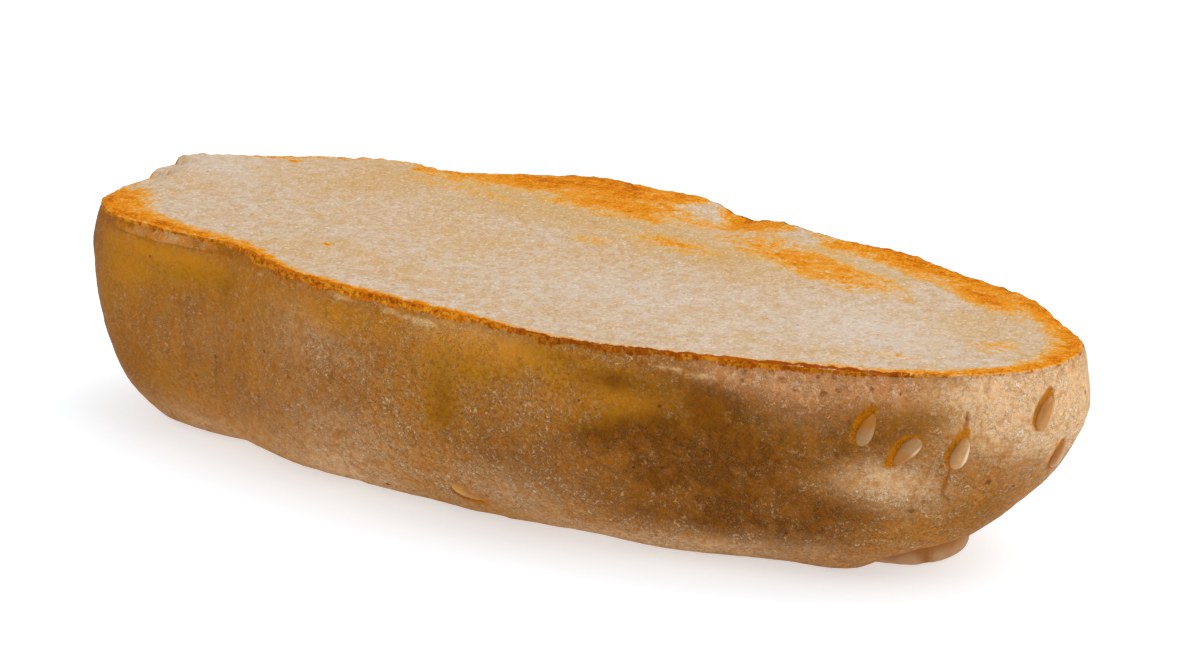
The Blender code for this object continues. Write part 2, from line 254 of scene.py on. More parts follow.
def placed(turn, row):
    """Point of the plain surface at this turn and row."""
    rim_x, rim_y = rim_plan(turn)
    top = cut_height(rim_x, rim_y) - RIM_ROUND
    power = ROUNDNESS + (ROUNDNESS_RIGHT - ROUNDNESS) * np.maximum(0.0, np.cos(turn)) ** END_REACH
    angle = 0.5 * math.pi * np.clip(1.0 - (row - WALL_START) / BELOW_ROWS, 0.0, 1.0)
    below = WIDEST_HEIGHT * (1.0 - np.sin(angle) ** (2.0 / power))
    climb = np.clip((row - WIDEST_ROW) / ABOVE_ROWS, 0.0, 1.0)
    above = WIDEST_HEIGHT + (top - WIDEST_HEIGHT) * climb
    points = wall(turn, np.where(row < WIDEST_ROW, below, above))

    spine_x = SPINE_SHARE * rim_x
    spine_y = midline(spine_x)
    inner = np.clip(1.0 - row / BASE_ROWS, 0.0, 1.0)
    points[:, 0] += (spine_x - points[:, 0]) * inner
    points[:, 1] += (spine_y - points[:, 1]) * inner

    over = 0.5 * math.pi * np.clip((row - TOP_ROW) / ROUND_ROWS, 0.0, 1.0)
    in_x, in_y = spine_x - points[:, 0], spine_y - points[:, 1]
    rounding = RIM_ROUND * (1.0 - np.cos(over)) / np.hypot(in_x, in_y).clip(0.1)
    share = np.clip((row - CUT_START) / CUT_ROWS, 0.0, 1.0)
    share = np.where(row > TOP_ROW, rounding + (1.0 - rounding) * share, 0.0)
    points[:, 0] += in_x * share
    points[:, 1] += in_y * share
    level = cut_height(points[:, 0], points[:, 1]) - RIM_ROUND * (1.0 - np.sin(over))
    points[:, 2] = np.where(row > TOP_ROW, level, points[:, 2])
    return points


def coordinates(obj):
    """Places of an object's vertices, one row for each."""
    values = np.empty(3 * len(obj.data.vertices), np.float32)
    obj.data.vertices.foreach_get("co", values)
    return values.reshape(-1, 3).astype(np.float64)


def move_to(obj, points):
    obj.data.vertices.foreach_set("co", points.astype(np.float32).ravel())
    obj.data.update()


def add_values(obj, name, values):
    layer = obj.data.attributes.new(name, "FLOAT", "POINT")
    layer.data.foreach_set("value", np.ascontiguousarray(values, np.float32))


def read_values(obj, name):
    values = np.empty(len(obj.data.vertices), np.float32)
    obj.data.attributes[name].data.foreach_get("value", values)
    return values.astype(np.float64)


bpy.ops.mesh.primitive_grid_add(x_subdivisions=COLUMNS, y_subdivisions=ROWS, size=1.0)
roll = bpy.context.object
roll.name = "bolillo_roll"
grid = coordinates(roll) + 0.5
seed_frames = [wall_frame(turn, height, lean, 0.0) for turn, height, lean in SEEDS]
slit_frames = [wall_frame(turn, height, lean, 0.0) for turn, height, lean, length, hook in SLITS]
middles = np.array([frame_.translation for frame_ in seed_frames + slit_frames])
plain = placed(turn_at(grid[:, 0]), grid[:, 1] * ROWS)
on_wall = (grid[:, 1] * ROWS > WALL_START) & (grid[:, 1] * ROWS < TOP_ROW)
near_seed = np.linalg.norm(plain[:, None, :] - middles[None], axis=2).min(axis=1) < FINE_REACH
bpy.ops.object.mode_set(mode="EDIT")
bpy.ops.mesh.select_mode(type="VERT")
bpy.ops.mesh.select_all(action="DESELECT")
bpy.ops.object.mode_set(mode="OBJECT")
roll.data.vertices.foreach_set("select", near_seed & on_wall)
bpy.ops.object.mode_set(mode="EDIT")
bpy.ops.mesh.subdivide(number_cuts=1)
bpy.ops.object.mode_set(mode="OBJECT")

grid = coordinates(roll) + 0.5
turns, rows = turn_at(grid[:, 0]), grid[:, 1] * ROWS
add_values(roll, "turn", np.mod(np.degrees(turns) + 180.0, 360.0) - 180.0)
add_values(roll, "row", rows)
move_to(roll, placed(turns, rows) * MM)
bpy.ops.object.mode_set(mode="EDIT")
bpy.ops.mesh.select_all(action="SELECT")
bpy.ops.mesh.remove_doubles(threshold=WELD)
bpy.ops.mesh.normals_make_consistent(inside=False)
bpy.ops.object.mode_set(mode="OBJECT")


# Patches of colour and tear on the wall, among them painted shade and painted light: turn, height,
# length along it, size up it, slope, amount
GOLD_PATCHES = (
    (-63.0, 19.4, 5.0, 1.4, 0.0, 0.5),
    (-88.0, 17.6, 5.0, 2.4, 0.0, 0.6),
    (-92.0, 13.0, 5.0, 2.6, 0.0, 0.4),
    (-70.0, 17.0, 5.0, 2.0, 0.1, 0.4),
    (-76.0, 18.4, 6.0, 1.8, 0.0, 0.5),
    (-140.0, 18.0, 6.0, 2.6, 0.0, 0.9),
    (-128.0, 19.0, 5.0, 1.6, 0.0, 0.8),
    (-118.0, 18.0, 5.0, 2.2, 0.0, 0.6),
    (-150.0, 12.0, 4.0, 6.0, 0.0, 0.45),
    (-138.0, 6.5, 5.0, 2.6, 0.0, 0.6),
    (-103.0, 19.0, 3.0, 1.6, 0.0, 0.4),
    (-97.0, 17.0, 3.0, 1.4, 0.3, 0.4),
    (-89.0, 18.0, 4.0, 1.4, 0.0, 0.5),
    (-92.5, 14.2, 2.2, 3.2, 0.0, 0.85),
    (-80.0, 20.2, 5.0, 1.4, -0.1, 1.0),
    (-73.0, 19.2, 5.0, 1.4, -0.15, 1.0),
    (-66.0, 17.6, 4.0, 1.2, -0.2, 0.8),
    (-72.0, 15.4, 6.0, 1.2, 0.25, 0.8),
    (-63.0, 16.6, 4.0, 1.4, 0.1, 0.8),
    (-54.0, 15.5, 4.0, 2.2, 0.0, 0.6),
    (-46.0, 17.0, 3.0, 1.5, 0.0, 0.4),
    (-36.0, 18.6, 3.5, 1.8, 0.0, 0.7),
    (-87.0, 1.8, 3.5, 1.2, 0.0, 0.9),
    (-30.0, 7.0, 5.0, 2.0, 0.0, 0.5),
    (-12.0, 9.0, 6.0, 2.0, 0.0, 0.4),
)
# Darker patches: partly darker baked crust, partly painted shade in the dents, in the hollow of the
# near wall and low on the wall
DARK_AND_SHADED_PATCHES = (
    (-66.0, 13.2, 7.0, 2.8, 0.1, 0.9),
    (-62.0, 16.6, 6.0, 1.8, 0.1, 0.85),
    (-61.0, 19.2, 6.0, 1.7, 0.0, 0.95),
    (-86.0, 10.0, 7.0, 3.5, 0.0, 0.4),
    (-72.0, 18.6, 3.5, 1.2, 0.0, 0.55),
    (-171.0, 19.0, 8.0, 3.0, 0.0, 0.8),
    (-61.0, 10.0, 8.0, 3.6, -0.1, 0.9),
    (-54.0, 14.6, 4.0, 2.8, 0.0, 0.6),
    (-50.0, 15.5, 4.0, 2.4, 0.0, 0.8),
    (-44.5, 17.6, 5.0, 2.3, 0.0, 1.0),
    (-50.0, 8.0, 4.0, 3.0, 0.0, 0.55),
    (-43.0, 8.2, 4.0, 1.8, 0.0, 0.45),
    (-42.0, 4.5, 4.0, 1.6, 0.0, 0.25),
    (-57.0, 5.8, 9.0, 2.8, 0.0, 0.65),
    (-68.0, 7.0, 7.0, 3.0, 0.0, 0.5),
    (-73.0, 14.0, 5.0, 1.8, 0.1, 0.6),
    (-92.0, 14.0, 1.4, 3.0, 0.0, 0.5),
    (-73.0, 19.3, 4.0, 0.8, -0.15, 0.5),
    (-80.0, 20.8, 4.0, 0.6, -0.1, 0.3),
    (-40.0, 15.0, 3.0, 3.0, 0.0, 0.3),
    (-35.5, 18.4, 3.0, 1.4, 0.0, 0.35),
    (-104.0, 10.0, 5.0, 3.0, 0.0, 0.2),
    (-122.5, 18.6, 1.4, 1.8, 0.6, 0.3),
    (-80.0, 8.0, 9.0, 4.0, 0.0, 0.25),
    (-20.0, 8.0, 7.0, 3.0, 0.0, 0.4),
    (-16.0, 12.5, 8.0, 3.0, 0.0, 0.3),
    (-168.0, 13.0, 7.0, 8.0, 0.0, 0.7),
    (-149.0, 6.0, 8.0, 4.0, 0.0, 0.4),
    (-128.0, 12.5, 9.0, 4.5, 0.0, 0.4),
    (-118.0, 7.0, 7.0, 4.0, 0.0, 0.3),
    (150.0, 10.0, 12.0, 6.0, 0.0, 0.3),
    (60.0, 9.0, 14.0, 5.0, 0.0, 0.3),
)
# Paler patches, partly paler crust and partly painted light: the right end lit from the right, a
# painted highlight just below the near rim, and the low wall, paler by the tray and painted lighter
# as if lit from the floor
PALE_AND_LIT_PATCHES = (
    (-22.0, 20.2, 6.0, 1.8, 0.0, 1.0),
    (-8.0, 19.0, 9.0, 4.2, 0.0, 1.0),
    (-9.0, 16.6, 7.0, 2.4, 0.0, 0.45),
    (-91.0, 20.5, 4.0, 1.1, 0.0, 0.55),
    (-85.5, 20.6, 3.5, 1.1, 0.0, 0.45),
    (-50.0, 4.0, 6.0, 1.6, 0.0, 0.2),
    (-41.5, 12.6, 4.0, 2.0, 0.0, 0.75),
    (-36.0, 10.5, 4.0, 2.2, 0.0, 0.4),
    (-53.0, 20.6, 5.0, 1.2, 0.0, 0.6),
    (-52.0, 17.6, 3.0, 1.4, 0.0, 0.3),
    (-109.0, 17.0, 6.0, 3.0, 0.0, 0.2),
    (-127.0, 12.5, 5.0, 3.0, 0.0, 0.1),
    (-105.0, 7.5, 7.0, 3.4, 0.0, 0.3),
    (-118.0, 6.0, 6.0, 3.4, 0.0, 0.1),
    (-85.0, 6.0, 7.0, 2.6, 0.0, 0.4),
    (-62.0, 2.6, 9.0, 2.0, 0.0, 0.4),
    (-78.0, 1.4, 12.0, 2.0, 0.0, 0.35),
    (-108.0, 2.5, 9.0, 2.6, 0.0, 0.5),
    (-135.0, 2.0, 8.0, 2.6, 0.0, 0.3),
    (170.0, 3.0, 12.0, 3.0, 0.0, 0.4),
    (90.0, 2.0, 60.0, 3.0, 0.0, 0.4),
    (20.0, 14.0, 10.0, 7.0, 0.0, 0.8),
    (95.0, 15.0, 16.0, 4.0, 0.0, 0.3),
)
# Painted shade, warm yellow-orange, on the wall just below the rim where its edge overhangs
WARM_SHADE_PATCHES = (
    (-113.0, 20.2, 3.0, 1.2, 0.0, 0.5),
    (-106.0, 19.8, 3.0, 1.5, 0.0, 0.9),
    (-99.0, 19.6, 3.0, 1.4, 0.0, 0.8),
    (-91.0, 20.0, 4.0, 1.6, 0.0, 1.0),
    (-85.0, 20.2, 4.0, 1.6, 0.0, 1.0),
    (-72.0, 17.2, 4.0, 1.0, 0.2, 0.4),
    (-143.0, 17.5, 3.0, 2.0, 0.0, 0.5),
)
TORN_PATCHES = (
    (-60.0, 21.2, 3.0, 1.2, 0.0, 0.8),
    (-53.0, 20.7, 4.5, 1.8, 0.0, 1.0),
    (-46.0, 20.9, 4.5, 1.7, 0.0, 1.0),
    (-39.0, 21.2, 3.0, 1.2, 0.0, 0.8),
    (-51.0, 18.0, 3.0, 1.6, 0.0, 0.2),
)
CHIP_PATCHES = (
    (-104.5, 21.4, 2.2, 0.4, 0.0, 0.9),
    (-97.5, 21.0, 2.6, 0.45, 0.0, 0.9),
    (-94.0, 20.8, 1.8, 0.4, 0.0, 0.8),
    (-117.0, 20.9, 1.0, 0.3, 0.3, 0.6),
    (-66.0, 20.8, 2.4, 0.4, -0.1, 0.9),
    (-62.5, 20.4, 1.0, 0.35, 0.1, 0.7),
    (-44.0, 20.8, 0.7, 0.4, 0.0, 0.5),
    (95.0, 20.8, 3.0, 0.4, 0.0, 0.8),
)

# Toast on the cut by turn round the rim: turn, depth in from the rim, strength
TOAST = (
    (-180.0, 0.8, 0.4),
    (-174.0, 2.6, 0.9),
    (-160.0, 3.6, 1.0),
    (-146.0, 2.8, 1.0),
    (-130.0, 1.6, 1.0),
    (-115.0, 0.7, 0.95),
    (-100.0, 0.5, 0.8),
    (-80.0, 0.4, 0.7),
    (-60.0, 0.4, 0.5),
    (-50.0, 0.7, 0.5),
    (-40.0, 0.8, 0.7),
    (-25.0, 1.1, 0.8),
    (-10.0, 1.8, 0.9),
    (5.0, 2.4, 0.9),
    (20.0, 2.0, 0.85),
    (35.0, 2.2, 0.9),
    (50.0, 3.4, 0.95),
    (60.0, 3.0, 0.95),
    (66.0, 2.8, 0.9),
    (73.0, 0.6, 0.2),
    (77.0, 3.6, 0.85),
    (82.0, 3.8, 0.9),
    (86.5, 0.6, 0.3),
    (90.0, 4.2, 0.9),
    (97.0, 6.0, 1.0),
    (108.0, 4.6, 0.95),
    (117.0, 2.6, 0.75),
    (124.0, 0.8, 0.6),
    (135.0, 0.9, 0.8),
    (148.0, 0.8, 0.6),
    (165.0, 0.3, 0.4),
    (180.0, 0.8, 0.4),
)
# Toasted patches in from the rim: X, Y, length, width, slant in degrees, strength
TOAST_PATCHES = (
    (-4.0, 13.8, 9.0, 3.2, -4.0, 0.85),
    (-20.0, 10.5, 9.0, 1.6, -6.0, 0.35),
    (8.0, 14.6, 7.0, 2.0, -8.0, 0.5),
    (20.0, 8.4, 12.0, 3.4, -18.0, 0.75),
    (6.0, 6.5, 7.0, 2.4, -8.0, 0.45),
    (30.0, 5.0, 5.0, 1.8, -20.0, 0.25),
    (37.5, 9.2, 7.0, 2.2, -30.0, 1.0),
    (43.0, 10.6, 4.0, 2.4, -40.0, 1.0),
    (-1.2, 4.2, 3.0, 1.5, 0.0, 0.4),
    (-26.5, 13.1, 2.5, 1.2, 0.0, 0.55),
    (38.0, -10.0, 6.0, 1.2, 12.0, 0.3),
    (45.0, -3.0, 3.0, 3.0, 0.0, 0.35),
    (-21.7, -11.1, 0.5, 0.35, 0.0, 1.0),
    (-39.5, 9.1, 0.9, 0.6, 0.0, 0.9),
)
# Buttery tint of the crumb: X, Y, length, width, slant in degrees, strength
TAN_PATCHES = (
    (-13.0, 10.5, 26.0, 6.0, -4.0, 1.0),
    (8.0, 6.0, 14.0, 4.5, -10.0, 1.0),
    (-30.0, 6.0, 12.0, 5.0, 0.0, 0.7),
    (-44.0, -1.0, 5.0, 3.0, 0.0, 0.4),
    (-14.0, -1.0, 12.0, 6.0, 0.0, 0.5),
    (3.0, 1.0, 8.0, 2.6, -8.0, 0.55),
    (-19.0, -12.0, 8.0, 2.5, -12.0, 0.6),
    (-25.0, -14.0, 8.0, 2.0, -12.0, 0.7),
    (-10.0, -15.0, 8.0, 1.5, 0.0, 0.4),
    (26.0, 9.0, 10.0, 3.5, -20.0, 0.7),
    (43.0, 2.0, 6.0, 5.0, -20.0, 0.6),
    (30.0, -13.0, 10.0, 1.2, 10.0, 0.3),
)
# Whiter crumb: X, Y, length, width, slant in degrees, strength
WHITE_PATCHES = (
    (33.0, -5.0, 9.0, 5.0, -10.0, 1.0),
    (-44.0, 4.0, 6.0, 5.0, 0.0, 0.8),
    (10.0, -8.0, 14.0, 5.0, -6.0, 0.4),
)
# Toast line that runs down over the rim onto the wall: turn, reach down, strength, how scorched
RIM_LINE = (
    (-180.0, 1.0, 0.5, 0.2),
    (-160.0, 0.7, 0.6, 0.2),
    (-148.0, 0.5, 0.6, 0.2),
    (-125.0, 0.5, 0.8, 0.2),
    (-119.0, 0.8, 1.0, 0.3),
    (-110.0, 0.9, 1.0, 0.25),
    (-104.0, 0.9, 1.0, 0.0),
    (-97.0, 0.8, 1.0, 0.05),
    (-91.0, 0.8, 1.0, 0.0),
    (-86.0, 0.6, 0.9, 0.2),
    (-80.0, 0.7, 1.0, 1.0),
    (-70.0, 0.8, 1.0, 1.0),
    (-62.0, 0.8, 0.9, 0.5),
    (-56.0, 0.7, 0.9, 0.7),
    (-40.0, 0.35, 0.8, 0.8),
    (-30.0, 0.2, 0.3, 0.3),
    (0.0, 0.3, 0.3, 0.2),
    (40.0, 0.8, 0.8, 0.6),
    (90.0, 0.9, 0.9, 0.5),
    (150.0, 0.8, 0.8, 0.5),
    (180.0, 1.0, 0.5, 0.2),
)
# Pinholes and specks in the crust: turn, height, radius, strength
MARKS = (
    (-22.75, 12.0, 0.5, 0.6),
    (-35.5, 9.2, 0.45, 0.6),
    (-74.25, 16.1, 0.22, 0.7),
    (-67.5, 17.2, 0.28, 0.9),
    (-63.25, 16.8, 0.2, 0.6),
    (-65.75, 14.2, 0.25, 0.7),
    (-115.25, 13.8, 0.22, 0.7),
    (-138.0, 20.2, 0.25, 0.7),
    (-102.5, 2.1, 0.35, 0.9),
    (-125.0, 11.0, 0.3, 0.6),
    (-119.0, 16.0, 0.3, 0.6),
)


def plan_turn(turn):
    """A turn in degrees as the plan has it, in radians from the middle of the far side."""
    return np.radians(90.0 + np.mod(turn - 90.0, 360.0))


def arc_of(turn):
    """Length along the plan at a turn in degrees."""
    return np.interp(plan_turn(turn), plan_turns, plan_arc)


def patches(table, turn, height):
    """Sum of the patches at each place of the wall."""
    whole = plan_arc[-1]
    total = np.zeros(len(turn))
    for at, up, length, tall, slope, amount in table:
        run = np.mod(arc_of(turn) - arc_of(at) + 0.5 * whole, whole) - 0.5 * whole
        total += amount * bump(run, length) * bump(height - up - slope * run, tall)
    return total


def around(table, turn, column):
    """Value of one column of a table that goes round the roll."""
    rows_ = np.array(table)
    return np.interp(turn, rows_[:, 0], rows_[:, column])


def noise_at(points, scale, offset=0.0):
    """Smooth noise of about this size in mm at each point, from -1 to 1."""
    shift = Vector((offset, 1.7 * offset, -0.6 * offset))
    return np.array([noise.noise(Vector(p) / scale + shift) for p in points])


# Ridged noise: increment, lacunarity, octaves, offset, gain
RIDGES = (0.9, 2.1, 4, 1.0, 2.0)


def ridges_at(points, scale, offset=0.0):
    """Ridged noise of about this size in mm at each point."""
    shift = Vector((offset, 1.7 * offset, -0.6 * offset))
    ridges = noise.ridged_multi_fractal
    return np.array([ridges(Vector(p) / scale + shift, *RIDGES) for p in points])


def seen_from(frame_, points):
    """Points in the axes of a place on the wall."""
    inverse = np.array(frame_.inverted())
    return points @ inverse[:3, :3].T + inverse[:3, 3]


# What the relief and the colours are worked out from: place, turn, row and distance from the rim
points = coordinates(roll) / MM
turn, row = read_values(roll, "turn"), read_values(roll, "row")
height = points[:, 2]
normals = np.empty(3 * len(points), np.float32)
roll.data.vertices.foreach_get("normal", normals)
normals = normals.reshape(-1, 3).astype(np.float64)

on_cut = ramp((row - TOP_ROW) / ROUND_ROWS)
off_base = ramp(height / 1.2) * (row > WALL_START)
edge_x, edge_y = rim_plan(np.radians(turn))
in_from_rim = np.hypot(points[:, 0] - edge_x, points[:, 1] - edge_y)
below_rim = np.where(row > TOP_ROW, 0.0, cut_height(edge_x, edge_y) - height)
rim_near = bump(np.where(row > TOP_ROW, in_from_rim, below_rim), 1.0) * (row > WIDEST_ROW)

torn = np.clip(patches(TORN_PATCHES, turn, height), 0.0, 1.0) * (1.0 - on_cut)
chips = np.clip(patches(CHIP_PATCHES, turn, height), 0.0, 1.0) * (1.0 - on_cut)
coarse, medium, fine = noise_at(points, 7.0), noise_at(points, 2.2, 5.0), noise_at(points, 0.9, 9.0)
ridged = ridges_at(points, 3.0, 2.0)
streaks = noise_at(points * (1.0, 1.0, 0.22), 1.3, 14.0)
left_part = ramp((-95.0 - turn) / 25.0) * ramp((turn + 175.0) / 20.0)

# Relief of crust, crumb and torn rim in mm, laid along the normals and none of it on the base
peeled_edge = bump(points[:, 0] - PEEL_X, PEEL_SPREAD) * ramp((1.9 - below_rim) / 0.8)
crust_relief = (
    0.16 * coarse
    + 0.07 * medium
    + 0.04 * fine
    + 0.05 * (ridged - 1.0)
    + 0.14 * fine * peeled_edge * (turn < 0.0)
    + 0.05 * streaks * left_part
    - 0.12 * chips
    + torn * (0.16 * fine + 0.12 * (ridged - 1.0) - 0.05)
)
crumb_relief = 0.06 * medium + 0.06 * fine
edge_relief = rim_near * (0.12 * fine + 0.06 * noise_at(points, 0.5, 22.0))
relief = off_base * (crust_relief * (1.0 - on_cut) + crumb_relief * on_cut + edge_relief)
points += normals * relief[:, None]

# Hollows of the seeds, the slits and the fold round the foot. Only the surface this near to a
# seed or a slit belongs to it
NEAR_OUT = 2.0
HOLLOW_LEVEL, HOLLOW_DEPTH = 0.15, 0.4
hollow = np.zeros(len(points))
for frame_, (_, _, lean) in zip(seed_frames, SEEDS):
    local = seen_from(frame_, points)
    shift = math.copysign(HOLLOW_SHIFT, math.cos(math.radians(lean)))
    along = (local[:, 1] - HOLLOW_SHIFT) / (SEED_LENGTH + 4.0 * HOLLOW_MARGIN)
    narrow = np.clip(1.0 - 2.0 * SEED_TAPER * along, 0.2, 2.0)
    across = (local[:, 0] + shift) / ((SEED_WIDTH + 2.0 * HOLLOW_MARGIN) * narrow)
    reach = 2.0 * np.hypot(along, across)
    here = (np.abs(local[:, 2]) < NEAR_OUT) & (reach < 2.0)
    floor = HOLLOW_LEVEL - HOLLOW_DEPTH * narrow * np.sqrt(np.clip(1.0 - reach**2, 0.0, 1.0))
    deep = np.where(here & (reach < 1.0), np.maximum(0.0, local[:, 2] - floor), 0.0)
    points -= np.array(frame_.col[2][:3]) * deep[:, None]
    hollow = np.maximum(hollow, here * ramp((1.05 - reach) / 0.15))
for frame_, (_, _, _, length, hook) in zip(slit_frames, SLITS):
    local = seen_from(frame_, points)
    bend = hook * ramp(-0.6 - 3.0 * local[:, 1] / length)
    reach = 2.0 * np.hypot((local[:, 0] - bend) / SLIT_WIDTH, local[:, 1] / length)
    here = np.abs(local[:, 2]) < NEAR_OUT
    deep = SLIT_DEPTH * np.sqrt(np.clip(1.0 - reach**2, 0.0, 1.0)) * here
    points -= np.array(frame_.col[2][:3]) * deep[:, None]
    hollow = np.maximum(hollow, 0.7 * ramp(deep / (0.6 * SLIT_DEPTH)))
foot_power = 2.0 / FOOT_BLUNT
foot_at = (points - (*FOOT_CENTRE, FOOT_CLEARANCE + 0.5 * FOOT_THICKNESS)) * 2.0
foot_at = np.abs(foot_at / (FOOT_LENGTH, FOOT_WIDTH, FOOT_THICKNESS))
foot_reach = np.hypot(foot_at[:, 0], foot_at[:, 1]) ** foot_power + foot_at[:, 2] ** foot_power
foot_gap = (foot_reach ** (1.0 / foot_power) - 1.0) * 0.5 * FOOT_THICKNESS
fold = bump(np.maximum(foot_gap, 0.0), 0.6) * (1.0 - on_cut)
points -= normals * (0.2 * fold * off_base)[:, None]
points[:, 2] = np.maximum(points[:, 2], 0.0)
move_to(roll, points * MM)
# Along the fold round the foot the hollow colour is partly painted shade in the crease
hollow = np.maximum(hollow, 0.75 * fold)


def on_cut_patches(table):
    """The strongest of the patches of a table at each place of the cut."""
    most = np.zeros(len(points))
    for at_x, at_y, length, width, slant, amount in table:
        c, s = math.cos(math.radians(slant)), math.sin(math.radians(slant))
        dx, dy = points[:, 0] - at_x, points[:, 1] - at_y
        here = amount * bump(dx * c + dy * s, length) * bump(dy * c - dx * s, width)
        most = np.maximum(most, here)
    return most


# Where each colour lies, as values from 0 to 1 that the materials read
depth, strength = around(TOAST, turn, 1), around(TOAST, turn, 2)
toast = strength * ramp(1.15 - in_from_rim / (2.0 * np.maximum(depth, 0.1)))
toast = np.maximum(toast, on_cut_patches(TOAST_PATCHES))
reach, strength = around(RIM_LINE, turn, 1), around(RIM_LINE, turn, 2)
reach = reach * (1.0 + 0.8 * noise_at(points * (1.0, 1.0, 0.1), 2.6, 40.0))
line = strength * ramp(1.3 - below_rim / np.maximum(reach, 0.1)) * (row > WIDEST_ROW)
near_side = on_side(np.radians(turn), -1)
plan_at = plan_x[np.searchsorted(plan_turns, plan_turn(turn)).clip(0, PLAN_STEPS)]
waver = 0.5 * noise_at(points * (1.0, 1.0, 0.1), 3.4, 60.0)
peel = bump(plan_at - PEEL_X, 1.15 * PEEL_SPREAD) * (row > WIDEST_ROW)
peel = peel * near_side * ramp((1.5 + waver - below_rim) / 0.5)
# Painted shade, warm yellow-orange, in a band below the peeled edge and in the patches below the
# rim
warm_shade = bump(points[:, 0] - PEEL_X, PEEL_SPREAD) * near_side * bump(below_rim - 2.3, 0.9)
warm_shade = warm_shade + patches(WARM_SHADE_PATCHES, turn, height)

add_values(roll, "toast", np.clip(toast, 0.0, 1.0) * on_cut)
add_values(roll, "tan", on_cut_patches(TAN_PATCHES))
add_values(roll, "white", on_cut_patches(WHITE_PATCHES))
add_values(roll, "line", np.clip(line, 0.0, 1.0))
add_values(roll, "scorch", around(RIM_LINE, turn, 3))
add_values(roll, "peel", np.clip(peel, 0.0, 1.0) * (1.0 - on_cut))
add_values(roll, "warm_shade", np.clip(warm_shade, 0.0, 1.0) * (1.0 - on_cut))
add_values(roll, "gold", np.clip(patches(GOLD_PATCHES, turn, height), 0.0, 1.0))
add_values(roll, "dark_and_shaded", np.clip(patches(DARK_AND_SHADED_PATCHES, turn, height), 0.0, 1.0))
add_values(roll, "pale_and_lit", np.clip(patches(PALE_AND_LIT_PATCHES, turn, height), 0.0, 1.0))
add_values(roll, "torn", torn)
add_values(roll, "chips", chips)
add_values(roll, "hollow", hollow)
add_values(roll, "left", left_part)
add_values(roll, "depth_in", np.where(row > TOP_ROW, in_from_rim, 0.0))
bpy.ops.object.shade_smooth()

crust_slot, crumb_slot = 0, 1
face_rows = np.array([max(row[i] for i in face.vertices) for face in roll.data.polygons])
face_slots = np.where(face_rows > TOP_ROW + 2, crumb_slot, crust_slot)
roll.data.polygons.foreach_set("material_index", face_slots)


class Shade:
    """A shader socket. Arithmetic on it adds Math nodes, and node() adds any other node."""

    def __init__(self, tree, socket=None):
        self.tree = tree
        self.socket = socket

    def node(self, kind, settings, inputs, out=0):
        made = self.tree.nodes.new("ShaderNode" + kind)
        for name, value in settings.items():
            setattr(made, name, value)
        for name, value in inputs.items():
            if isinstance(value, Shade):
                self.tree.links.new(value.socket, made.inputs[name])
            else:
                made.inputs[name].default_value = value
        return Shade(self.tree, made.outputs[out])

    def math(self, operation, other, swapped=False, clamp=False):
        pair = {0: other, 1: self} if swapped else {0: self, 1: other}
        return self.node("Math", {"operation": operation, "use_clamp": clamp}, pair)

    def vector(self, operation, inputs, out=0):
        return self.node("VectorMath", {"operation": operation}, inputs, out)

    def __add__(self, other):
        return self.math("ADD", other)

    def __radd__(self, other):
        return self.math("ADD", other, True)

    def __sub__(self, other):
        return self.math("SUBTRACT", other)

    def __rsub__(self, other):
        return self.math("SUBTRACT", other, True)

    def __mul__(self, other):
        return self.math("MULTIPLY", other)

    def __rmul__(self, other):
        return self.math("MULTIPLY", other, True)

    def size(self):
        return self.math("ABSOLUTE", 0.0)

    def clamp(self):
        return self.math("ADD", 0.0, clamp=True)

    def fade(self, low, high):
        """0 at low and 1 at high, with a smooth change between them."""
        limits = {"Value": self, "From Min": low, "From Max": high}
        return self.node("MapRange", {"interpolation_type": "SMOOTHSTEP"}, limits)

    def value(self, name):
        return self.node("Attribute", {"attribute_name": name}, {}, 2)

    def place(self):
        """Place on the object in mm."""
        at = self.node("TexCoord", {}, {}, "Object")
        return self.vector("SCALE", {0: at, 3: 1.0 / MM})

    def stretched(self, factors, offset=(0.0, 0.0, 0.0)):
        """These coordinates, moved by the offset and then multiplied by the factors."""
        moved = self.vector("ADD", {0: self, 1: offset})
        return self.vector("MULTIPLY", {0: moved, 1: factors})

    def noise(self, size, detail=2.0, roughness=0.5, distortion=0.0):
        """Noise of about this size in mm, from 0 to 1."""
        inputs = {"Vector": self, "Scale": 1.0 / size, "Detail": detail}
        inputs.update({"Roughness": roughness, "Distortion": distortion})
        return self.node("TexNoise", {}, inputs)

    def noise_colour(self, size):
        inputs = {"Vector": self, "Scale": 1.0 / size, "Detail": 1.0}
        return self.node("TexNoise", {}, inputs, "Color")

    def moved_by(self, colour, amount):
        """These coordinates, pushed about by a noise colour, which has 0.5 for its middle."""
        centred = self.vector("SUBTRACT", {0: colour, 1: (0.5, 0.5, 0.5)})
        push = self.vector("SCALE", {0: centred, 3: 2.0 * amount})
        return self.vector("ADD", {0: self, 1: push})

    def distance(self, point):
        """Distance in mm of these coordinates from a point."""
        return self.vector("DISTANCE", {0: self, 1: tuple(point)}, 1)

    def cells(self, size):
        """Distance from the nearest of scattered points, as a share of their spacing in mm."""
        return self.node("TexVoronoi", {}, {"Vector": self, "Scale": 1.0 / size})

    def between(self, first, second):
        """The first colour where this is 0 and the second where it is 1."""
        return self.node("Mix", {"data_type": "RGBA"}, {0: self, 6: first, 7: second}, 2)

    def mixed(self, share, other):
        return share.between(self, other)


def paint(red, green, blue):
    """Colour given as sRGB from 0 to 255."""
    shares = [channel / 255.0 for channel in (red, green, blue)]
    linear = [c / 12.92 if c < 0.04045 else ((c + 0.055) / 1.055) ** 2.4 for c in shares]
    return (*linear, 1.0)


def new_material(name):
    """New material, the start of its expressions and its main shader."""
    material = bpy.data.materials.new(name)
    material.use_nodes = True
    return material, Shade(material.node_tree), material.node_tree.nodes["Principled BSDF"]


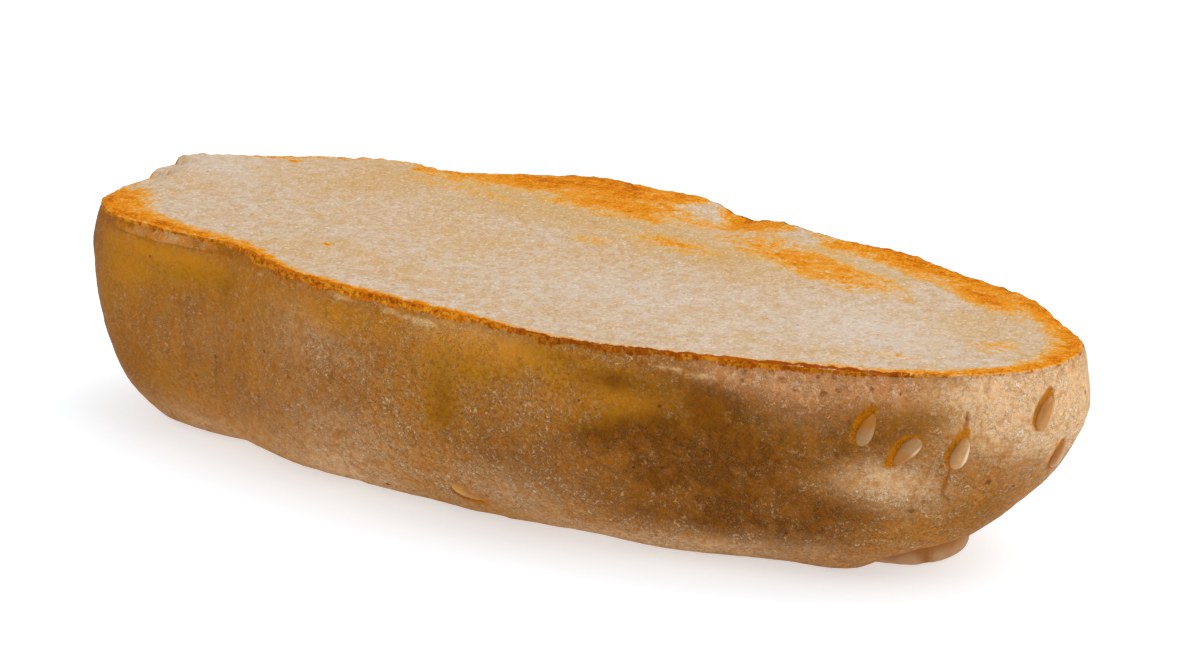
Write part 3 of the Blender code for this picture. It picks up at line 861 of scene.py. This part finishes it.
def join(start, shader, name, value):
    start.tree.links.new(value.socket, shader.inputs[name])


def set_depth(shader, shine, share, reach, size):
    """Shine, the share of light that enters, and how far it reaches by colour and in metres."""
    shader.inputs["Specular IOR Level"].default_value = shine
    shader.inputs["Subsurface Weight"].default_value = share
    shader.inputs["Subsurface Radius"].default_value = reach
    shader.inputs["Subsurface Scale"].default_value = size


def bump_of(value, spread):
    """1 where the value is 0, falling away on both sides."""
    return value.size().fade(spread, 0.0)


# Browned skin with fine pale threads, golden and dark patches, specks, torn and chipped places
# Part of it is painted light and shade: painted shade in the dark patches, painted light in the
# pale ones, painted highlights, and painted shade by the rim and the peel
crust, start, shader = new_material("crust")
at = start.place()
gold, dark_and_shaded, pale_and_lit, left_ = map(start.value, ("gold", "dark_and_shaded", "pale_and_lit", "left"))
torn_, chips_, hollow_, peel_ = map(start.value, ("torn", "chips", "hollow", "peel"))
line_, scorch_, warm_shade_ = map(start.value, ("line", "scorch", "warm_shade"))
warped = at.moved_by(at.noise_colour(3.0), 1.2)
broad = warped.noise(11.0, 3.0)
blotch = warped.noise(3.4, 5.0, 0.62)
wobble = at.noise(1.1, 4.0, 0.65, 0.5)
grain = at.noise(0.4, 3.0, 0.65)
streak = at.stretched((1.0, 1.0, 0.2)).noise(1.2, 4.0, 0.6)

gold = (gold * (0.5 + blotch.fade(0.36, 0.6) * 0.5) * (0.75 + wobble.fade(0.4, 0.6) * 0.35)).clamp()
dark_and_shaded = (dark_and_shaded * (0.6 + blotch.fade(0.36, 0.6) * 0.5) * (0.8 + wobble.fade(0.4, 0.6) * 0.3)).clamp()
curls = at.moved_by(at.noise_colour(0.6), 0.4)
elsewhere = curls.stretched((1.0, 1.0, 1.0), (31.0, 7.0, 3.0))
first = bump_of(curls.noise(0.5, 1.0, 0.4) - 0.5, 0.06)
second = bump_of(elsewhere.noise(0.38, 1.0, 0.4) - 0.5, 0.06)
cover = (warped.noise(2.2, 4.0, 0.65).fade(0.4, 0.64) * 0.75 + 0.25) * (1.0 - gold * 0.85)
web = ((first + second * 0.8) * cover * (1.0 - left_ * 0.5)).clamp() * (1.0 - line_)
bloom = (blotch * 0.5 + wobble * 0.5).fade(0.38, 0.62) * (1.0 - gold) * (1.0 - dark_and_shaded * 0.9)

skin = broad.fade(0.4, 0.7).between(paint(170, 102, 4), paint(150, 86, 0))
skin = skin.mixed(wobble.fade(0.42, 0.66) * 0.5, paint(180, 116, 22))
skin = skin.mixed(bloom * 0.5, paint(176, 130, 80))
skin = skin.mixed(streak.fade(0.42, 0.68) * left_ * 0.6, paint(152, 88, 10))
# Pale patches: partly paler crust, partly painted light
skin = skin.mixed((pale_and_lit * (0.45 + wobble.fade(0.3, 0.6))).clamp() * 0.8, paint(228, 190, 146))
skin = skin.mixed(gold * 0.9, paint(170, 114, 2))
# Dark patches: partly darker crust, partly painted shade
skin = skin.mixed(dark_and_shaded * 0.9, paint(102, 56, 0))
speck = pale_and_lit.between(paint(132, 72, 0), paint(204, 144, 72))
skin = skin.mixed(grain.fade(0.48, 0.62) * (0.7 - 0.25 * pale_and_lit) * (1.0 - 0.5 * left_), speck)
threads = (web * (1.0 - 0.85 * dark_and_shaded) * (1.0 - pale_and_lit * 0.5)).clamp()
skin = skin.mixed(threads * 0.8, paint(220, 178, 132))
# Painted highlights: near-white glints on the threads in the pale places
skin = skin.mixed((web * pale_and_lit * grain.fade(0.6, 0.42)).clamp() * 0.7, paint(244, 222, 196))
dots = at.cells(1.9).fade(0.17, 0.07) * at.noise(6.0, 1.0).fade(0.45, 0.6)
skin = skin.mixed(dots * 0.7, paint(156, 76, 2))
pins = at.stretched((1.0, 1.0, 1.0), (5.0, 9.0, 2.0)).cells(4.2).fade(0.04, 0.02)
skin = skin.mixed(pins * 0.7, paint(90, 46, 8))
for turn_, height_, radius, amount in MARKS:
    spot = wall(np.float64(math.radians(turn_)), np.float64(height_))
    skin = skin.mixed(at.distance(spot).fade(radius, 0.4 * radius) * amount, paint(98, 46, 4))
# Painted shade below the peeled edge and below the rim, in warm yellow-orange
skin = skin.mixed((warm_shade_ * (0.4 + wobble)).clamp() * 0.85, paint(196, 126, 20))
skin = skin.mixed((torn_ * (0.4 + wobble)).clamp() * 0.85, paint(198, 136, 84))
pocks = curls.cells(1.0).fade(0.4, 0.12) * at.noise(1.6, 2.0).fade(0.42, 0.58)
skin = skin.mixed((torn_ * 1.3).clamp() * pocks * 0.8, paint(156, 82, 10))
fibres = torn_ * (first * 0.7 + wobble.fade(0.52, 0.64)).clamp()
skin = skin.mixed(fibres * 0.6, paint(220, 176, 136))
# Amber in the seed hollows and slits and along the fold round the foot, where it is partly painted
# shade
skin = skin.mixed(hollow_ * 0.95, paint(178, 104, 0))
ragged = peel_ * 0.9 + (wobble - 0.5) * 2.0 + (blotch - 0.5) * 2.4
skin = skin.mixed(ragged.fade(0.4, 1.1) * peel_.fade(0.0, 0.6) * 0.7, paint(204, 162, 110))
skin = skin.mixed((peel_ * wobble.fade(0.46, 0.56)).clamp() * 0.75, paint(196, 114, 4))
# Painted shadow: a darker line along the lower edge of the peeled band
shadow_under_peel = bump_of(peel_ - 0.35, 0.3) * left_.fade(0.1, 0.5) * wobble.fade(0.3, 0.5)
skin = skin.mixed(shadow_under_peel * 0.4, paint(140, 78, 4))
chipped = (chips_ * 1.4 + (wobble - 0.5) * 2.6 + (grain - 0.5) * 1.6).fade(0.3, 1.4)
chipped = chipped * chips_.fade(0.1, 0.7)
skin = skin.mixed(chipped * 0.8, paint(222, 180, 124))
burnt = wobble.fade(0.44, 0.56).between(paint(236, 152, 24), paint(208, 112, 2))
burnt = burnt.mixed(grain.fade(0.5, 0.62) * 0.8, paint(146, 66, 0))
burnt = burnt.mixed(grain.fade(0.44, 0.32) * 0.7, paint(238, 174, 70))
burnt = burnt.mixed((scorch_ * (0.3 + wobble)).clamp() * 0.8, paint(128, 54, 0))
edge_ = line_ * 1.3 + (wobble - 0.5) * 1.6 + (grain - 0.5) * 1.0
skin = skin.mixed(edge_.fade(0.3, 0.7) * line_.fade(0.02, 0.2), burnt)
join(start, shader, "Base Color", skin)
join(start, shader, "Roughness", 0.6 + 0.2 * grain - gold * 0.12)
ups = web * (0.7 - 0.3 * pale_and_lit) + grain * (0.6 - 0.4 * pale_and_lit) + blotch * 0.4
ups = ups + torn_ * (wobble * 2.0 - pocks * 1.2) + line_ * grain * 2.5 - pins * 1.5
relief_ = start.node("Bump", {}, {"Strength": 1.0, "Distance": 0.00024, "Height": ups})
join(start, shader, "Normal", relief_)
set_depth(shader, 0.05, 0.03, (1.0, 0.5, 0.25), 0.0012)

# Pale crumb with pores, buttery and white places, painted highlights, and toast that darkens with
# its level
crumb, start, shader = new_material("crumb")
at = start.place()
soft, mid, tiny = at.noise(6.0, 4.0, 0.6), at.noise(1.0, 5.0, 0.7), at.noise(0.3, 3.0, 0.7)
pore = at.moved_by(at.noise_colour(0.6), 0.5).cells(0.95)
toast_, inward = start.value("toast"), start.value("depth_in")
flesh = (mid.fade(0.4, 0.62) * 0.75).between(paint(202, 182, 162), paint(188, 154, 112))
white_ = start.value("white")
flesh = flesh.mixed(white_ * 0.7, paint(204, 190, 176))
tan = (start.value("tan") * (0.5 + mid) + (soft - 0.5) * 1.6 * (1.0 - white_)).clamp()
flesh = flesh.mixed(tan * 0.8, paint(196, 154, 92))
flesh = flesh.mixed(at.noise(2.2, 4.0, 0.65).fade(0.5, 0.68) * 0.5, paint(196, 156, 92))
flesh = flesh.mixed(tiny.fade(0.5, 0.66) * 0.35, paint(176, 142, 100))
flesh = flesh.mixed(tiny.fade(0.46, 0.32) * 0.55, paint(226, 214, 198))
flesh = flesh.mixed(pore.fade(0.26, 0.06) * 0.3, paint(172, 130, 78))
# Painted highlights: small bright glints in the crumb's colour
glints = at.moved_by(at.noise_colour(0.5), 0.6).cells(0.8).fade(0.24, 0.08)
glints = glints * at.noise(2.4, 3.0, 0.65).fade(0.42, 0.58)
flesh = flesh.mixed(glints * 0.45, paint(246, 238, 230))
strands = at.stretched((0.4, 1.0, 1.0)).noise(1.6, 6.0, 0.72)
level = toast_ * 1.1 + (strands - 0.5) * 2.0 + (mid - 0.5) * 1.4 + (tiny - 0.5) * 1.8
level = level * toast_.fade(0.0, 0.35)
flesh = flesh.mixed(level.fade(0.05, 0.5) * 0.8, paint(220, 164, 70))
flesh = flesh.mixed(level.fade(0.35, 0.8) * 0.95, paint(232, 144, 10))
flesh = flesh.mixed(level.fade(0.8, 1.25) * 0.9, paint(214, 116, 0))
flesh = flesh.mixed(level.fade(1.1, 1.6) * 0.8, paint(172, 80, 0))
# Painted highlights: bright glints on the toasted crumb
toast_glints = (level.fade(0.5, 0.9) * tiny.fade(0.42, 0.3)).clamp()
flesh = flesh.mixed(toast_glints * 0.7, paint(240, 178, 80))
scorch_ = start.value("scorch")
rim = start.value("line") * inward.fade(0.6, 0.1) * 1.2 + (mid - 0.5) * 1.4 + (tiny - 0.5) * 1.2
rim_paint = (scorch_ * 1.2).clamp().between(paint(214, 120, 8), paint(146, 62, 4))
flesh = flesh.mixed(rim.fade(0.35, 0.8) * inward.fade(1.0, 0.4), rim_paint)
join(start, shader, "Base Color", flesh)
join(start, shader, "Roughness", 0.72 + 0.2 * tiny)
crisp = level.clamp() * ((tiny - 0.5) * 2.0 + (mid - 0.5) * 1.6)
ups = mid * 0.9 + tiny * 0.9 - pore.fade(0.3, 0.05) * 0.6 + crisp
relief_ = start.node("Bump", {}, {"Strength": 1.0, "Distance": 0.00012, "Height": ups})
join(start, shader, "Normal", relief_)
set_depth(shader, 0.05, 0.06, (1.0, 0.6, 0.35), 0.0012)

roll.data.materials.append(crust)
roll.data.materials.append(crumb)
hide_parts("bolillo_half")
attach(roll, "root")


# Sesame seeds
# Eight hulled seeds that baked into the crust, each lying in its own hollow: five on the near
# side and the right end, one flat and toasted near the base, two on the hidden far side.
# Modelled at true size as teardrops and sunk a little into the wall.

SEED_SUNK, SEED_ASIDE = 0.3, 0.1
SEED_SEGMENTS, SEED_RINGS = 40, 28
# For each seed: how brown it is, how far the crust's amber skin covers its narrow end, how strong
# the painted highlight along its right edge is, how pale it is, and how the edge of the amber skin
# slants
SEED_LOOKS = (
    (0.1, 0.95, 0.1, 0.0, -0.3),
    (0.08, 0.9, 0.75, 0.15, -0.3),
    (0.2, 0.1, 0.9, 0.6, 0.3),
    (0.6, 0.3, 0.5, 0.7, 0.3),
    (0.9, 0.8, 0.0, 0.1, -0.3),
    (1.0, 0.6, 0.0, 0.0, -0.3),
    (0.3, 0.4, 0.4, 0.3, 0.3),
    (0.4, 0.4, 0.4, 0.3, 0.3),
)



def face_outwards():
    """Turn the faces of the active piece outwards and smooth its shading."""
    bpy.ops.object.mode_set(mode="EDIT")
    bpy.ops.mesh.select_all(action="SELECT")
    bpy.ops.mesh.normals_make_consistent(inside=False)
    bpy.ops.object.mode_set(mode="OBJECT")
    bpy.ops.object.shade_smooth()


made = []
for number, frame_ in enumerate(seed_frames):
    bpy.ops.mesh.primitive_uv_sphere_add(segments=SEED_SEGMENTS, ring_count=SEED_RINGS, radius=0.5)
    seed = bpy.context.object
    at_ = coordinates(seed)
    x, y, z = at_[:, 0], at_[:, 2], -at_[:, 1]
    narrow = (1.0 - 2.0 * SEED_TAPER * y) * (1.0 - 0.12 * ramp((y - 0.25) / 0.25))
    bow = 0.05 * math.sin(5.0 * number) * (y * y * 4.0 - 0.4)
    flat = np.where(z > 0, 1.0 - 0.12 * bump(x, 0.2) * bump(y, 0.3), 1.0)
    wide = (x * narrow + bow) * SEED_WIDTH
    shaped = np.stack([wide, y * SEED_LENGTH, z * SEED_THICKNESS * narrow * flat], axis=-1)
    shaped += 0.02 * noise_at(shaped, 0.7, 3.0 * number)[:, None] * at_ * 2.0
    add_values(seed, "length", y + 0.5)
    add_values(seed, "across", x * math.copysign(2.0, math.cos(math.radians(SEEDS[number][2]))))
    brown, veiled, highlight, paleness, slant = SEED_LOOKS[number]
    add_values(seed, "toasted", np.full(len(at_), brown))
    add_values(seed, "paleness", np.full(len(at_), paleness))
    add_values(seed, "veil", veiled * ramp((y + 0.15 + slant * x) / 0.3))
    add_values(seed, "edge", np.full(len(at_), highlight))
    aside = math.copysign(SEED_ASIDE, math.cos(math.radians(SEEDS[number][2])))
    lowered = frame_ @ Matrix.Translation((aside, 0.0, -SEED_SUNK))
    world = np.array(lowered)
    move_to(seed, (shaped @ world[:3, :3].T + world[:3, 3]) * MM)
    made.append(seed)
bpy.ops.object.select_all(action="DESELECT")
for seed in made:
    seed.select_set(True)
bpy.context.view_layer.objects.active = made[0]
bpy.ops.object.join()
seeds = bpy.context.object
seeds.name = "sesame_seeds"
face_outwards()

sesame, start, shader = new_material("sesame")
at = start.place()
toasted, run, side = start.value("toasted"), start.value("length"), start.value("across")
mottle, speckle = at.noise(0.7, 3.0), at.noise(0.2, 2.0)
hull = start.value("paleness").between(paint(150, 112, 66), paint(198, 154, 98))
hull = hull.mixed(toasted * 0.8, paint(200, 132, 22))
hull = hull.mixed(mottle.fade(0.4, 0.7) * 0.35, paint(150, 100, 50))
hull = hull.mixed(run.fade(0.8, 1.0) * 0.4, paint(130, 76, 26))
# Painted shade on the seed's left side and a painted highlight along its right edge, where the
# light comes from
hull = hull.mixed(side.fade(0.2, -0.7) * 0.5, paint(136, 84, 34))
hull = hull.mixed(side.fade(0.3, 0.7) * start.value("edge") * 0.8, paint(240, 218, 186))
hull = hull.mixed(speckle.fade(0.62, 0.75) * 0.3, paint(128, 76, 36))
hull = hull.mixed((start.value("veil") * (0.6 + mottle)).clamp() * 0.9, paint(158, 94, 2))
join(start, shader, "Base Color", hull)
join(start, shader, "Roughness", 0.22 + 0.15 * mottle)
ups = mottle * 0.5 + speckle * 0.3
join(start, shader, "Normal", start.node("Bump", {}, {"Distance": 0.00006, "Height": ups}))
set_depth(shader, 0.35, 0.1, (1.0, 0.6, 0.3), 0.0006)
seeds.data.materials.append(sesame)
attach(seeds, "root")


# Foot of dough
# Where the loose right end sagged while it proved, a lobe of dough was pressed out flat on the
# tray. It is part of the roll: a thick pale fold with a crease, running in under the end.

FOOT_SEGMENTS, FOOT_RINGS = 96, 48
CREASE_TURN, CREASE_LEAN, CREASE_SPREAD, CREASE_DEPTH = -43.0, -14.0, 4.0, 0.25
SKIN_HEIGHT = 1.3

bpy.ops.mesh.primitive_uv_sphere_add(segments=FOOT_SEGMENTS, ring_count=FOOT_RINGS, radius=0.5)
foot = bpy.context.object
foot.name = "dough_foot"
at_ = coordinates(foot)
x, y, z = at_[:, 0], at_[:, 2], -at_[:, 1]
around_ = np.degrees(np.arctan2(y, x))
edge_ = np.hypot(x, y) * 2.0
crease = bump(around_ - CREASE_TURN - CREASE_LEAN * z, CREASE_SPREAD)
crease = crease * ramp((edge_ - 0.5) / 0.4)
fuller = (2.0 * np.hypot(x, y)).clip(1e-6) ** (FOOT_BLUNT - 1.0)
blunt_z = np.sign(z) * 0.5 * np.abs(2.0 * z) ** FOOT_BLUNT
long, wide = x * fuller * FOOT_LENGTH, y * fuller * FOOT_WIDTH
shaped = np.stack([long, wide, blunt_z * FOOT_THICKNESS], axis=-1)
rough = 0.1 * noise_at(shaped, 2.4, 4.0) + 0.04 * noise_at(shaped, 0.8, 8.0)
rough = rough - CREASE_DEPTH * crease
shaped += at_[:, [0, 2, 1]] * (1.0, 1.0, -1.0) * 2.0 * rough[:, None]
shaped += (*FOOT_CENTRE, FOOT_CLEARANCE + 0.5 * FOOT_THICKNESS)
shaped[:, 2] = np.maximum(shaped[:, 2], FOOT_CLEARANCE)
add_values(foot, "upper", ramp(shaped[:, 2] - SKIN_HEIGHT))
add_values(foot, "crease", crease)
move_to(foot, shaped * MM)
face_outwards()

dough, start, shader = new_material("dough")
at = start.place()
cloudy, fleck = at.noise(2.6, 4.0, 0.6), at.noise(0.5, 3.0, 0.65)
fold = start.value("crease")
skin = cloudy.fade(0.42, 0.66).between(paint(178, 136, 94), paint(160, 110, 60))
skin = skin.mixed(fleck.fade(0.55, 0.75) * 0.4, paint(160, 112, 70))
# Painted shade: the crease darkened in its colour, on top of its dent
skin = skin.mixed((fold * 1.2).clamp() * 0.8, paint(150, 86, 16))
skin = skin.mixed((start.value("upper") * (0.4 + cloudy)).clamp() * 0.85, paint(158, 92, 14))
join(start, shader, "Base Color", skin)
join(start, shader, "Roughness", 0.6 + 0.2 * fleck)
ups = cloudy + fleck * 0.5
join(start, shader, "Normal", start.node("Bump", {}, {"Distance": 0.0001, "Height": ups}))
shader.inputs["Specular IOR Level"].default_value = 0.3
foot.data.materials.append(dough)
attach(foot, "root")


# Stage
# Plain white sweep of the photo: a white floor that gives off a little light of its own, a large
# soft light overhead and behind, two weaker ones from the right and the front, and the camera
# where the photo was taken from.

AZIMUTH, ELEVATION, DISTANCE = 31.17, 20.0, 450.0
TARGET = (0.08, 2.97, 12.99)
LENS, SENSOR = 140.7, 36.0
FLOOR_PAINT, FLOOR_GLOW, SKY_GLOW = (0.56, 0.6, 0.64, 1.0), 0.55, 0.64
WHITE = (1.0, 1.0, 1.0, 1.0)

bpy.ops.mesh.primitive_plane_add(size=6.0)
floor_ = bpy.context.object
floor_.name = "floor"
white, start, shader = new_material("white_floor")
shader.inputs["Base Color"].default_value = FLOOR_PAINT
shader.inputs["Roughness"].default_value = 0.8
shader.inputs["Emission Color"].default_value = WHITE
shader.inputs["Emission Strength"].default_value = FLOOR_GLOW
floor_.data.materials.append(white)


def direction(azimuth, elevation):
    """Unit vector away from the roll: azimuth from the near side round to the right end."""
    a, e = math.radians(azimuth), math.radians(elevation)
    return Vector((math.sin(a) * math.cos(e), -math.cos(a) * math.cos(e), math.sin(e)))


def soft_light(name, azimuth, elevation, distance, size, power):
    """Square light that faces the roll from this side. Distance and size are in metres."""
    away = direction(azimuth, elevation)
    bpy.ops.object.light_add(type="AREA", location=away * distance)
    light = bpy.context.object
    light.name = name
    light.rotation_euler = away.to_track_quat("Z", "Y").to_euler()
    light.data.size = size
    light.data.energy = power
    return light


lights = (
    soft_light("overhead", 140.0, 68.0, 1.0, 1.1, 4.7),
    soft_light("right", 90.0, 40.0, 1.0, 0.6, 2.8),
    soft_light("front", -10.0, 40.0, 1.2, 0.8, 1.8),
)
world = bpy.data.worlds.new("studio")
world.use_nodes = True
world.node_tree.nodes["Background"].inputs["Color"].default_value = WHITE
world.node_tree.nodes["Background"].inputs["Strength"].default_value = SKY_GLOW
bpy.context.scene.world = world
bpy.context.scene.view_settings.view_transform = "Standard"

away = direction(AZIMUTH, ELEVATION)
bpy.ops.object.camera_add(location=(Vector(TARGET) + away * DISTANCE) * MM)
camera = bpy.context.object
camera.rotation_euler = away.to_track_quat("Z", "Y").to_euler()
camera.data.lens = LENS
camera.data.sensor_width = SENSOR
camera.data.clip_start = 0.01
bpy.context.scene.camera = camera
